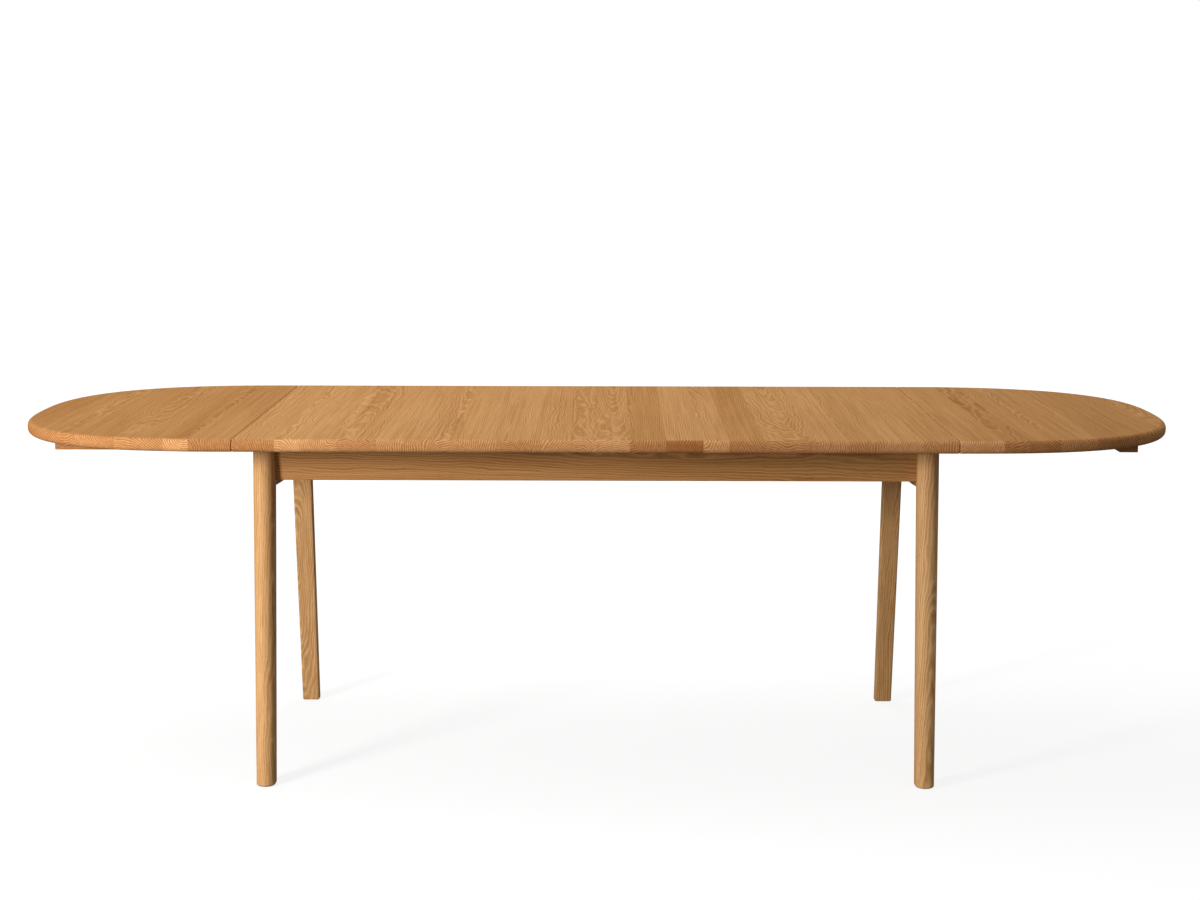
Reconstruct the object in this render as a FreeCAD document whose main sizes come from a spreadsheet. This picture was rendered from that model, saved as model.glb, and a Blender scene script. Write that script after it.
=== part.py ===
"""Extendable dining table in solid oak: a fixed main top on a splayed four-leg frame, with a
half-round leaf at each end. Each leaf is carried by two long runners and a cross batten, and slides
out on them through notches in the end rails.

Frame: millimetres, +X along the table, +Y to its back, +Z up, origin on the floor under its middle.
"""
import FreeCAD, Part
import math
import os
import re

import Sketcher

Vector = FreeCAD.Vector
UP = Vector(0, 0, 1)
DOWN = Vector(0, 0, -1)

# How far a cutter runs past the face that it opens, and the bevel at the ends of turned pieces.
OVERCUT = 1.0
BEVEL = 1.0

# Shares of a shape's own size.
SOCKET_SHARE = 0.45
WAIST_SHARE = 0.6

# Where repeated fasteners stand, as shares of the stretch that they are spaced over.
APRON_PLATE_SHARES = (-0.81, -0.4, 0.4, 0.81)
RAIL_PLATE_SHARES = (-0.4, 0.4)
BEARER_SCREW_SHARES = (-0.5, 0, 0.5)
LEAF_PIN_SHARES = (-0.67, 0, 0.67)
RUNNER_SCREW_SHARES = (0.14, 0.55)
BATTEN_SCREW_SHARES = (-0.28, 0, 0.28)

# Driving dimensions: cell alias, value, what it is.
SIZES = (
    ("table_height", 720, "floor to the upper face of the top"),
    ("main_length", 1392, "length of the fixed main top"),
    ("leaf_reach", 481, "seam to tip of one leaf"),
    ("table_width", 900, "width of the top"),
    ("top_thickness", 25, "thickness of main top and leaves"),
    ("edge_radius", 10, "rounding of the top's outer edge"),
    ("seam_gap", 0.8, "between the main top and a leaf pushed in"),
    ("seam_ease", 2, "easing of the edges at the two seams"),
    ("leaf_power", 2.55, "exponent of the leaf's outline, 2 is an ellipse"),
    ("leaf_lead", 12, "straight start of the leaf's outline at the seam"),
    ("arris_ease", 1.5, "easing of the boards' long edges"),
    ("base_width", 552, "width over the legs under the top"),
    ("foot_width", 704, "width over the feet"),
    ("leg_setback", 9, "main top's end to the legs' outer side"),
    ("leg_top_size", 43.5, "leg's section under the top"),
    ("leg_foot_size", 38, "leg's section at the foot"),
    ("leg_corner", 4, "easing of the leg's two inner corners"),
    ("foot_ease", 3.5, "easing round the foot"),
    ("apron_height", 85, "height of the long aprons"),
    ("apron_thickness", 21, "thickness of the long aprons"),
    ("apron_setback", 22, "leg's outermost line to the apron's face"),
    ("rail_thickness", 25, "thickness of the end rails"),
    ("rail_setback", 15, "leg's outer side to the end rail's face"),
    ("rail_depth", 98, "depth of an end rail beside the legs"),
    ("rail_belly", 11, "extra depth of an end rail in the middle"),
    ("support_height", 30, "height of runners and cross battens"),
    ("support_span", 430, "length of a cross batten"),
    ("runner_width", 38, "width of a runner"),
    ("runner_past", 150, "runner's reach beyond the table's middle"),
    ("lane_gap", 6, "between two runners that pass side by side"),
    ("batten_width", 38, "width of a cross batten"),
    ("batten_inset", 82, "leaf's tip to the cross batten"),
    ("slide_gap", 0.5, "clearance round a runner"),
    ("bearer_thickness", 36, "thickness of the middle bearer"),
    ("bearer_height", 60, "height of the middle bearer"),
    ("block_height", 33, "height of a corner block"),
    ("block_reach", 75, "corner block along apron and rail"),
    ("block_thickness", 21, "corner block across its diagonal"),
    ("pin_gap", 0.1, "clearance round dowels, pins, bolts and screws"),
    ("dowel_size", 10, "diameter of the frame's dowels"),
    ("dowel_spread", 14, "lower apron dowel below the leg bolt"),
    ("dowel_cover", 3, "wood left between a rail dowel and the runners' lane"),
    ("leg_dowel_depth", 18, "a frame dowel's depth in the leg"),
    ("bearer_dowel_depth", 13, "a bearer dowel's depth in the apron"),
    ("pin_size", 8, "diameter of leaf pins and batten dowels"),
    ("pin_reach", 18, "leaf pin's reach into the main top"),
    ("pin_hold", 24, "leaf pin's or dowel's length in its own board"),
    ("bolt_size", 8, "diameter of a leg bolt"),
    ("bolt_in_leg", 38, "leg bolt beyond the frame's inner corner"),
    ("bolt_past_nut", 4, "leg bolt's end beyond its nut"),
    ("nut_width", 13, "leg nut across its flats"),
    ("nut_height", 6.5, "leg nut's height"),
    ("washer_size", 22, "leg washer's diameter"),
    ("washer_thickness", 1.6, "leg washer's thickness"),
    ("plate_disc", 16, "diameter of a top plate's two rounds"),
    ("plate_pitch", 20, "between a top plate's two screws"),
    ("plate_thickness", 2.5, "thickness of a top plate"),
    ("plate_margin", 2, "apron's or rail's outer face to a top plate"),
    ("small_screw", 3.5, "shank of plate and block screws"),
    ("large_screw", 5, "shank of leaf and bearer screws"),
    ("plate_screw_length", 20, "length of a top plate's screw"),
    ("block_screw_length", 27, "length of a corner block's screw"),
    ("block_screw_inset", 15, "corner block's long corner to its screws"),
    ("block_screw_sink", 10, "a block screw's head before the apron's or rail's face"),
    ("block_screw_pitch", 18, "between the two screws at one end of a block"),
    ("leaf_screw_length", 44, "length of a leaf's screw"),
    ("bearer_screw_length", 50, "length of a bearer's screw"),
    ("screw_cover", 10, "wood of the top left over a bearer screw's tip"),
    ("screw_sink", 1, "leaf screw's head inside the support's face"),
    ("glide_size", 24, "diameter of a foot glide"),
    ("glide_proud", 1.5, "foot glide below the wood"),
    ("glide_sunk", 2.5, "foot glide inside the wood"),
)

# Places worked out from the driving dimensions, each an expression of the document.
PLACES = (
    ("under_top", "table_height - top_thickness"),
    ("half_main", "main_length / 2"),
    ("leaf_start", "half_main + seam_gap"),
    ("half_width", "table_width / 2"),
    ("leg_outer_x", "half_main - leg_setback"),
    ("leg_inner_x", "leg_outer_x - leg_top_size"),
    ("leg_top_y", "base_width / 2 - leg_top_size / 2"),
    ("leg_foot_y", "foot_width / 2 - leg_foot_size / 2"),
    ("flat_top_y", "base_width / 2 - leg_top_size"),
    ("flat_foot_y", "foot_width / 2 - leg_foot_size"),
    ("leg_lean", "(flat_foot_y - flat_top_y) / (under_top - glide_proud)"),
    ("apron_outer_y", "base_width / 2 - apron_setback"),
    ("apron_inner_y", "apron_outer_y - apron_thickness"),
    ("apron_bottom_z", "under_top - apron_height"),
    ("rail_outer_x", "leg_outer_x - rail_setback"),
    ("rail_inner_x", "rail_outer_x - rail_thickness"),
    ("rail_middle_x", "rail_inner_x + rail_thickness / 2"),
    ("rail_end_z", "under_top - rail_depth"),
    ("rail_end_y", "flat_top_y + rail_depth * leg_lean"),
    ("support_z", "under_top - support_height"),
    ("runner_height", "support_height - slide_gap"),
    ("batten_outer_x", "half_main + leaf_reach - batten_inset"),
    ("batten_inner_x", "batten_outer_x - batten_width"),
    ("outer_lane_y", "support_span / 2 - runner_width / 2"),
    ("inner_lane_y", "outer_lane_y - runner_width - lane_gap"),
    ("bearer_z", "under_top - bearer_height"),
    ("rail_dowel_z", "support_z - slide_gap - dowel_cover - dowel_size / 2"),
    ("block_z", "(apron_bottom_z + support_z) / 2"),
    ("block_waist", "block_reach - block_thickness * sqrt(2)"),
)

doc = FreeCAD.newDocument("extendable_dining_table")
sheet = doc.addObject("Spreadsheet::Sheet", "Sizes")
for row, (alias, value, note) in enumerate(SIZES, start=1):
    sheet.set("A%d" % row, note)
    sheet.set("B%d" % row, str(value))
    sheet.setAlias("B%d" % row, alias)
doc.recompute()

SHEET_NAMES = {alias for alias, value, note in SIZES}
PLACE_NAMES = {name for name, rule in PLACES}


def full(rule):
    """An expression with each size and place written with the object that holds it."""
    def owner(match):
        word = match.group(0)
        if word in SHEET_NAMES:
            return "Sizes." + word
        if word in PLACE_NAMES:
            return "Places." + word
        return word
    return re.sub(r"[a-z_]+", owner, rule)


places = doc.addObject("App::VarSet", "Places")
for name, rule in PLACES:
    places.addProperty("App::PropertyFloat", name)
    places.setExpression(name, full(rule))
doc.recompute()


class Numbers:
    """The sheet's cells and the worked-out places, as plain numbers."""

    def __getattr__(self, word):
        holder = sheet if word in SHEET_NAMES else places
        return float(getattr(holder, word))


at = Numbers()
finished = []


def bind(thing, **rules):
    for prop, rule in rules.items():
        thing.setExpression(prop, full(rule))


def put(thing, x="0", y="0", z="0"):
    for axis, rule in (("x", x), ("y", y), ("z", z)):
        thing.setExpression("Placement.Base." + axis, full(rule))


def finish(thing, node):
    """Marks an object as one of the table's pieces, under its own name."""
    thing.Label = node
    finished.append(thing)
    return thing


# --- building blocks: bodies, sketches, fillets ----------------------------------------------

def new_body(name):
    return doc.addObject("PartDesign::Body", name)


def new_sketch(body, name, plane="XY_Plane"):
    sketch = body.newObject("Sketcher::SketchObject", name)
    planes = [origin for origin in body.Origin.OriginFeatures if origin.Role == plane]
    sketch.AttachmentSupport = [(planes[0], "")]
    sketch.MapMode = "FlatFace"
    return sketch


def outline(sketch, corners):
    """Straight lines round the given corners, joined end to end."""
    points = [Vector(x, y, 0) for x, y in corners]
    count = len(points)
    for index in range(count):
        sketch.addGeometry(Part.LineSegment(points[index], points[(index + 1) % count]))
    for index in range(count):
        sketch.addConstraint(Sketcher.Constraint("Coincident", index, 2, (index + 1) % count, 1))


def as_drawn(sketch, kind, ends):
    """What a dimension measures before it is bound to anything."""
    if kind == "Radius":
        return sketch.Geometry[ends[0]].Radius
    gap = sketch.getPoint(ends[2], ends[3]).sub(sketch.getPoint(ends[0], ends[1]))
    return gap.x if kind == "DistanceX" else gap.y


def measure(sketch, kind, name, ends, rule):
    """A named dimension of the sketch, bound to an expression."""
    index = sketch.addConstraint(Sketcher.Constraint(kind, *ends, as_drawn(sketch, kind, ends)))
    sketch.renameConstraint(index, name)
    sketch.setExpression("Constraints." + name, full(rule))


def pad(body, sketch, length, midplane=False):
    feature = body.newObject("PartDesign::Pad", body.Name + "_pad")
    feature.Profile = sketch
    bind(feature, Length=length)
    feature.Midplane = midplane
    doc.recompute()
    return feature


def ease(body, base, radius, wanted):
    """Rounds every edge of the base feature that the test picks."""
    feature = body.newObject("PartDesign::Fillet", body.Name + "_ease")
    names = ["Edge%d" % (i + 1) for i, edge in enumerate(base.Shape.Edges) if wanted(edge)]
    feature.Base = (base, names)
    bind(feature, Radius=radius)
    body.Tip = feature
    doc.recompute()
    return feature


def runs_along(axis):
    """Test for straight edges parallel to X, Y or Z."""
    def test(edge):
        ends = edge.Vertexes
        if len(ends) < 2:
            return False
        span = ends[1].Point.sub(ends[0].Point)
        return abs(abs(getattr(span, axis)) - span.Length) < 1e-6
    return test


def lies_at(axis, value):
    """Test for edges that lie wholly in one plane across an axis."""
    def test(edge):
        box = edge.BoundBox
        low, high = getattr(box, axis.upper() + "Min"), getattr(box, axis.upper() + "Max")
        return abs(low - value) < 1e-4 and abs(high - value) < 1e-4
    return test


def board(name, length, width, height, x, y, z, long_axis):
    """A straight board with eased long edges, its low corner at x, y, z."""
    body = new_body(name)
    sketch = new_sketch(body, name + "_plan")
    outline(sketch, [(0, 0), (10, 0), (10, 10), (0, 10)])
    for line, direction in enumerate(("Horizontal", "Vertical", "Horizontal", "Vertical")):
        sketch.addConstraint(Sketcher.Constraint(direction, line))
    sketch.addConstraint(Sketcher.Constraint("Coincident", 0, 1, -1, 1))
    measure(sketch, "DistanceX", "long_side", (0, 1, 0, 2), length)
    measure(sketch, "DistanceY", "short_side", (1, 1, 1, 2), width)
    solid = pad(body, sketch, height)
    ease(body, solid, "arris_ease", runs_along(long_axis))
    put(body, x, y, z)
    return body


def cut(node, base, tools):
    """The base less all the tools, as one finished piece."""
    group = doc.addObject("Part::Compound", node + "_cutters")
    group.Links = tools
    result = doc.addObject("Part::Cut", node)
    result.Base = base
    result.Tool = group
    return finish(result, node)


def mirrored(node, source, normal):
    result = doc.addObject("Part::Mirroring", node)
    result.Source = source
    result.Normal = normal
    result.Base = Vector(0, 0, 0)
    return finish(result, node)


# --- fasteners: turned shapes, each repeated at a list of places ------------------------------

def turned(profile):
    """Solid of revolution about Z from its half profile of (radius, height) corners."""
    corners = [Vector(radius, 0, height) for radius, height in profile]
    face = Part.Face(Part.makePolygon(corners + corners[:1]))
    return face.revolve(Vector(0, 0, 0), UP, 360)


def dowel(length, width, gap=0.0):
    """A round pin along Z with bevelled ends. With a gap it is the bore that holds the pin."""
    radius = width / 2 + gap
    low = -gap
    high = length + gap
    return turned([(0, low), (radius - BEVEL, low), (radius, low + BEVEL),
                   (radius, high - BEVEL), (radius - BEVEL, high), (0, high)])


def screw(length, shank, gap=0.0, cover=0.0):
    """A countersunk screw with its head's face at zero and its tip up. Its head is twice the
    shank. With a gap it is the bore that holds it, open for the cover's depth below the head."""
    body = shank / 2 + gap
    head = shank + gap
    sink = shank / 2
    profile = [(head, 0), (body, sink), (body, length - shank), (0, length + gap), (0, -cover)]
    if cover:
        return turned(profile + [(head, -cover)])
    return turned(profile).cut(hexagon_bar(shank * SOCKET_SHARE, sink))


def hexagon_bar(radius, length):
    """A six-sided bar along Z, its corners at the given radius."""
    corners = [Vector(radius * math.cos(k * math.pi / 3), radius * math.sin(k * math.pi / 3), 0)
               for k in range(7)]
    return Part.Face(Part.makePolygon(corners)).extrude(Vector(0, 0, length))


def placed(shape, point, direction):
    copy = shape.copy()
    copy.Placement = FreeCAD.Placement(point, FreeCAD.Rotation(UP, direction))
    return copy


def spread(name, shape, spots):
    """One object that holds a copy of the shape at every (point, direction)."""
    group = doc.addObject("Part::Feature", name)
    group.Shape = Part.makeCompound([placed(shape, point, way) for point, way in spots])
    return group


SIDES = (-1, 1)
CORNERS = [(sx, sy) for sx in SIDES for sy in SIDES]

# Dowels from each leg into its apron and its end rail.
frame_dowel_length = at.leg_dowel_depth + at.pin_hold
frame_dowel_spots = []
for sx, sy in CORNERS:
    for z in (at.block_z - at.dowel_spread, at.under_top - 2 * at.dowel_size):
        middle_y = at.apron_outer_y - at.apron_thickness / 2
        start = Vector(sx * (at.leg_inner_x + at.leg_dowel_depth), sy * middle_y, z)
        frame_dowel_spots.append((start, Vector(-sx, 0, 0)))
    for z in (at.rail_end_z + at.dowel_size, at.rail_dowel_z):
        shoulder_y = at.flat_top_y + (at.under_top - z) * at.leg_lean
        start = Vector(sx * at.rail_middle_x, sy * (shoulder_y + at.leg_dowel_depth), z)
        frame_dowel_spots.append((start, Vector(0, -sy, 0)))
frame_dowels = spread("frame_dowels", dowel(frame_dowel_length, at.dowel_size), frame_dowel_spots)
frame_dowel_bores = spread("frame_dowel_bores",
                           dowel(frame_dowel_length, at.dowel_size, at.pin_gap), frame_dowel_spots)
finish(frame_dowels, "frame_dowels")

# Dowels from the middle bearer into the aprons.
bearer_dowel_y = at.apron_inner_y + at.bearer_dowel_depth
bearer_dowel_z = (at.bearer_z + at.support_z) / 2
bearer_dowel_spots = [(Vector(sx * at.bearer_thickness / 4, sy * bearer_dowel_y, bearer_dowel_z),
                       Vector(0, -sy, 0)) for sx, sy in CORNERS]
bearer_dowel_length = at.bearer_dowel_depth + at.pin_hold
bearer_dowels = spread("bearer_dowels", dowel(bearer_dowel_length, at.pin_size), bearer_dowel_spots)
bearer_dowel_bores = spread("bearer_dowel_bores",
                            dowel(bearer_dowel_length, at.pin_size, at.pin_gap), bearer_dowel_spots)
finish(bearer_dowels, "bearer_dowels")

# Leg bolts run level along each corner's diagonal, from inside the leg out through the block.
bolt_out = at.block_reach / math.sqrt(2) + at.washer_thickness + at.nut_height + at.bolt_past_nut
bolt_spots, washer_spots, nut_spots = [], [], []
for sx, sy in CORNERS:
    inward = Vector(-sx, -sy, 0).normalize()
    corner = Vector(sx * at.rail_inner_x, sy * at.apron_inner_y, at.block_z)
    seat = corner + inward * (at.block_reach / math.sqrt(2))
    bolt_spots.append((corner - inward * at.bolt_in_leg, inward))
    washer_spots.append((seat, inward))
    nut_spots.append((seat + inward * at.washer_thickness, inward))
bolt_length = at.bolt_in_leg + bolt_out
leg_bolts = spread("leg_bolts", dowel(bolt_length, at.bolt_size), bolt_spots)
leg_bolt_bores = spread("leg_bolt_bores", dowel(bolt_length, at.bolt_size, at.pin_gap), bolt_spots)
washer = Part.makeCylinder(at.washer_size / 2, at.washer_thickness)
washer = washer.cut(Part.makeCylinder(at.bolt_size / 2 + at.pin_gap, at.washer_thickness))
nut = hexagon_bar(at.nut_width / math.sqrt(3), at.nut_height)
nut = nut.cut(Part.makeCylinder(at.bolt_size / 2 + at.pin_gap / 2, at.nut_height))
finish(leg_bolts, "leg_bolts")
finish(spread("leg_washers", washer, washer_spots), "leg_washers")
finish(spread("leg_nuts", nut, nut_spots), "leg_nuts")

# Corner block screws: two into the apron and two into the end rail from each block.
screw_offset = at.block_reach - at.block_screw_inset
block_screw_spots = []
for sx, sy in CORNERS:
    for side in SIDES:
        z = at.block_z + side * at.block_screw_pitch / 2
        into_apron = Vector(sx * (at.rail_inner_x - screw_offset),
                            sy * (at.apron_inner_y - at.block_screw_sink), z)
        into_rail = Vector(sx * (at.rail_inner_x - at.block_screw_sink),
                           sy * (at.apron_inner_y - screw_offset), z)
        block_screw_spots.append((into_apron, Vector(0, sy, 0)))
        block_screw_spots.append((into_rail, Vector(sx, 0, 0)))
block_screw = screw(at.block_screw_length, at.small_screw)
block_screw_bore = screw(at.block_screw_length, at.small_screw, at.pin_gap, at.block_screw_sink)
finish(spread("corner_block_screws", block_screw, block_screw_spots), "corner_block_screws")
block_screw_bores = spread("corner_block_screw_bores", block_screw_bore, block_screw_spots)

# Top plates: figure-eight plates let into the frame's top edge, one screw down, one screw up.
plate_edge = at.plate_disc / 2 + at.plate_margin
plate_spots = []
for sy in SIDES:
    for share in APRON_PLATE_SHARES:
        spot = Vector(share * at.leg_inner_x, sy * (at.apron_outer_y - plate_edge), 0)
        plate_spots.append((spot, Vector(0, -sy, 0)))
for sx in SIDES:
    for share in RAIL_PLATE_SHARES:
        spot = Vector(sx * (at.rail_outer_x - plate_edge), share * at.inner_lane_y, 0)
        plate_spots.append((spot, Vector(-sx, 0, 0)))


def plate_blank(gap=0.0, lift=0.0):
    """Two rounds joined by a waist, from the frame's screw at the origin to the top's screw at +X."""
    radius = at.plate_disc / 2 + gap
    low = -at.plate_thickness - gap
    near = Part.makeCylinder(radius, lift - low, Vector(0, 0, low))
    far = Part.makeCylinder(radius, lift - low, Vector(at.plate_pitch, 0, low))
    half_waist = radius * WAIST_SHARE
    waist = Part.makeBox(at.plate_pitch, 2 * half_waist, lift - low, Vector(0, -half_waist, low))
    return near.fuse([far, waist]).removeSplitter()


def laid(shape, point, way):
    """A copy of a plate at a spot of the frame's top edge, turned so that its +X points the way."""
    copy = shape.copy()
    heading = math.degrees(math.atan2(way.y, way.x))
    copy.Placement = FreeCAD.Placement(Vector(point.x, point.y, at.under_top), FreeCAD.Rotation(UP, heading))
    return copy


plate_screw_spots = []
for point, way in plate_spots:
    plate_screw_spots.append((Vector(point.x, point.y, at.under_top), DOWN))
    far_hole = point + way * at.plate_pitch
    plate_screw_spots.append((Vector(far_hole.x, far_hole.y, at.under_top - at.plate_thickness), UP))
finish(spread("top_plate_screws", screw(at.plate_screw_length, at.small_screw), plate_screw_spots),
       "top_plate_screws")
plate_screw_bore = screw(at.plate_screw_length, at.small_screw, at.pin_gap, OVERCUT)
plate_screw_bores = spread("top_plate_screw_bores", plate_screw_bore, plate_screw_spots)
plate_blanks = doc.addObject("Part::Feature", "top_plate_blanks")
plate_blanks.Shape = Part.makeCompound(
    [laid(plate_blank(), point, way) for point, way in plate_spots])
plate_recesses = doc.addObject("Part::Feature", "top_plate_recesses")
plate_recesses.Shape = Part.makeCompound(
    [laid(plate_blank(at.pin_gap, OVERCUT), point, way) for point, way in plate_spots])
cut("top_plates", plate_blanks, [plate_screw_bores])

# Bearer screws, sunk in deep counterbores, go up into the main top.
bearer_head_z = at.table_height - at.screw_cover - at.bearer_screw_length
bearer_screw_spots = [(Vector(0, share * at.inner_lane_y, bearer_head_z), UP)
                      for share in BEARER_SCREW_SHARES]
finish(spread("bearer_screws", screw(at.bearer_screw_length, at.large_screw), bearer_screw_spots),
       "bearer_screws")
bearer_screw_bores = spread("bearer_screw_bores",
                            screw(at.bearer_screw_length, at.large_screw, at.pin_gap,
                                  at.bearer_height), bearer_screw_spots)

# Foot glides: turned nylon discs let into the feet.
glide_radius = at.glide_size / 2
glide_height = at.glide_proud + at.glide_sunk
glide = turned([(0, 0), (glide_radius - BEVEL, 0), (glide_radius, BEVEL),
                (glide_radius, glide_height), (0, glide_height)])
foot_x = at.leg_inner_x + at.leg_foot_size / 2
glide_spots = [(Vector(sx * foot_x, sy * at.leg_foot_y, 0), UP) for sx, sy in CORNERS]
finish(spread("foot_glides", glide, glide_spots), "foot_glides")
glide_bore = Part.makeCylinder(glide_radius + at.pin_gap, at.glide_sunk + OVERCUT,
                               Vector(0, 0, at.glide_proud - OVERCUT))
glide_bores = spread("foot_glide_bores", glide_bore, glide_spots)

# Leaf pins line each leaf up with the main top. Their bores in the main top are deeper.
leaf_pin_spots = [(Vector(at.half_main - at.pin_reach, share * at.half_width,
                          at.table_height - at.top_thickness / 2), Vector(1, 0, 0))
                  for share in LEAF_PIN_SHARES]
leaf_pin = dowel(at.pin_reach + at.pin_hold, at.pin_size)
leaf_pin_bores = spread("leaf_pin_bores", dowel(at.pin_reach + at.pin_hold, at.pin_size, at.pin_gap),
                        leaf_pin_spots)
end_bore_depth = at.pin_reach + 2 * BEVEL
end_bore = dowel(end_bore_depth + at.pin_size, at.pin_size, at.pin_gap)
end_bore_spots = [(Vector(sx * (at.half_main - end_bore_depth), point.y, point.z), Vector(sx, 0, 0))
                  for sx in SIDES for point, way in leaf_pin_spots]
end_bores = spread("main_top_end_bores", end_bore, end_bore_spots)

# --- tops --------------------------------------------------------------------------------------

def main_top_blank():
    """A slab with a rounded edge along both sides and eased ends."""
    body = new_body("main_top_blank")
    sketch = new_sketch(body, "main_top_section", "YZ_Plane")
    outline(sketch, [(-10, 10), (10, 10), (10, 20), (-10, 20)])
    for line, direction in ((1, "Vertical"), (2, "Horizontal"), (3, "Vertical")):
        sketch.addConstraint(Sketcher.Constraint(direction, line))
    sketch.addConstraint(Sketcher.Constraint("Symmetric", 0, 1, 0, 2, -2))
    measure(sketch, "DistanceX", "full_width", (0, 1, 0, 2), "table_width")
    measure(sketch, "DistanceY", "thickness", (1, 1, 1, 2), "top_thickness")
    measure(sketch, "DistanceY", "underside", (-1, 1, 0, 1), "under_top")
    slab = pad(body, sketch, "main_length", midplane=True)
    rounded = ease(body, slab, "edge_radius", runs_along("x"))
    ends = [lies_at("x", side * at.half_main) for side in SIDES]
    ease(body, rounded, "seam_ease", lambda edge: any(test(edge) for test in ends))
    return body


def leaf_curve():
    """The leaf's rounded outline: (x / reach)^p + (y / half width)^p = 1."""
    steps = 24
    start_x = at.leaf_start + at.leaf_lead
    reach = at.half_main + at.leaf_reach - start_x
    points = []
    for step in range(steps + 1):
        angle = math.pi * (step / steps - 0.5)
        along = abs(math.cos(angle)) ** (2 / at.leaf_power)
        across = abs(math.sin(angle)) ** (2 / at.leaf_power)
        side = 1 if angle > 0 else -1
        points.append(Vector(start_x + reach * along, side * at.half_width * across, 0))
    curve = Part.BSplineCurve()
    curve.interpolate(points, InitialTangent=Vector(1, 0, 0), FinalTangent=Vector(-1, 0, 0))
    return curve


def leaf_blank(side):
    """The right leaf's slab with its rounded rim and eased seam."""
    body = new_body(side + "_leaf_blank")
    sketch = new_sketch(body, side + "_leaf_plan")
    sketch.AttachmentOffset = FreeCAD.Placement(Vector(0, 0, at.under_top), FreeCAD.Rotation())
    bind(sketch, **{"AttachmentOffset.Base.z": "under_top"})
    curve = leaf_curve()
    front_corner = Vector(at.leaf_start, -at.half_width, 0)
    back_corner = Vector(at.leaf_start, at.half_width, 0)
    sketch.addGeometry([Part.LineSegment(front_corner, curve.StartPoint),
                        curve,
                        Part.LineSegment(curve.EndPoint, back_corner),
                        Part.LineSegment(back_corner, front_corner)])
    for index in range(4):
        sketch.addConstraint(Sketcher.Constraint("Coincident", index, 2, (index + 1) % 4, 1))
    slab = pad(body, sketch, "top_thickness")
    seam = lies_at("x", at.leaf_start)
    faces = [lies_at("z", at.under_top), lies_at("z", at.table_height)]
    rounded = ease(body, slab, "edge_radius",
                   lambda edge: any(test(edge) for test in faces) and not seam(edge))
    ease(body, rounded, "seam_ease", seam)
    return body


cut("main_top", main_top_blank(), [end_bores, plate_screw_bores, bearer_screw_bores])

# --- legs: one leg in the front right corner, and its mirror images ----------------------------

def leg_section(name, height, size, centre_y):
    """A half round facing out and a flat with two eased corners facing in, at one height."""
    sketch = doc.addObject("Sketcher::SketchObject", name)
    put(sketch, z=height)
    half, r = getattr(at, size) / 2, at.leg_corner
    left, middle, right = at.leg_inner_x, at.leg_inner_x + half, at.leg_inner_x + 2 * half
    front, flat = -getattr(at, centre_y), half - getattr(at, centre_y)
    sketch.addGeometry([
        Part.LineSegment(Vector(left, front, 0), Vector(left, flat - r, 0)),
        Part.ArcOfCircle(Part.Circle(Vector(left + r, flat - r, 0), UP, r), math.pi / 2, math.pi),
        Part.LineSegment(Vector(left + r, flat, 0), Vector(right - r, flat, 0)),
        Part.ArcOfCircle(Part.Circle(Vector(right - r, flat - r, 0), UP, r), 0, math.pi / 2),
        Part.LineSegment(Vector(right, flat - r, 0), Vector(right, front, 0)),
        Part.ArcOfCircle(Part.Circle(Vector(middle, front, 0), UP, half), math.pi, 2 * math.pi)])
    for first, end, second, start in ((0, 2, 1, 2), (1, 1, 2, 1), (2, 2, 3, 2), (3, 1, 4, 1),
                                      (4, 2, 5, 2), (5, 1, 0, 1)):
        sketch.addConstraint(Sketcher.Constraint("Tangent", first, end, second, start))
    sketch.addConstraint(Sketcher.Constraint("Vertical", 0))
    sketch.addConstraint(Sketcher.Constraint("Horizontal", 2))
    sketch.addConstraint(Sketcher.Constraint("Vertical", 4))
    sketch.addConstraint(Sketcher.Constraint("Equal", 1, 3))
    measure(sketch, "Radius", "corner", (1,), "leg_corner")
    measure(sketch, "Radius", "half_round", (5,), size + " / 2")
    measure(sketch, "DistanceY", "flat", (5, 3, 2, 1), size + " / 2")
    measure(sketch, "DistanceX", "inner_side", (-1, 1, 0, 1), "leg_inner_x")
    measure(sketch, "DistanceY", "centre", (5, 3, -1, 1), centre_y)
    return sketch


def leg_blank():
    """The front right leg, whose side towards the table's middle stands upright."""
    top = leg_section("leg_top_section", "under_top", "leg_top_size", "leg_top_y")
    foot = leg_section("leg_foot_section", "glide_proud", "leg_foot_size", "leg_foot_y")
    loft = doc.addObject("Part::Loft", "leg_loft")
    loft.Sections = [foot, top]
    loft.Solid = True
    loft.Ruled = True
    doc.recompute()
    blank = doc.addObject("Part::Fillet", "leg_blank")
    blank.Base = loft
    rim = lies_at("z", at.glide_proud)
    blank.Edges = [(i + 1, at.foot_ease, at.foot_ease)
                   for i, edge in enumerate(loft.Shape.Edges) if rim(edge)]
    return blank


LEFT_RIGHT = Vector(1, 0, 0)
FRONT_BACK = Vector(0, 1, 0)
front_right_leg = cut("front_right_leg", leg_blank(), [frame_dowel_bores, leg_bolt_bores, glide_bores])
front_left_leg = mirrored("front_left_leg", front_right_leg, LEFT_RIGHT)
mirrored("back_right_leg", front_right_leg, FRONT_BACK)
mirrored("back_left_leg", front_left_leg, FRONT_BACK)

# --- long aprons -------------------------------------------------------------------------------

apron_blank = board("apron_blank", "2 * leg_inner_x", "apron_thickness", "apron_height",
                    "-leg_inner_x", "-apron_outer_y", "apron_bottom_z", "x")
front_apron = cut("front_apron", apron_blank,
                  [frame_dowel_bores, bearer_dowel_bores, block_screw_bores, leg_bolt_bores,
                   plate_recesses, plate_screw_bores])
mirrored("back_apron", front_apron, FRONT_BACK)

# --- runner lanes: the room that the four runners slide in -------------------------------------

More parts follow.
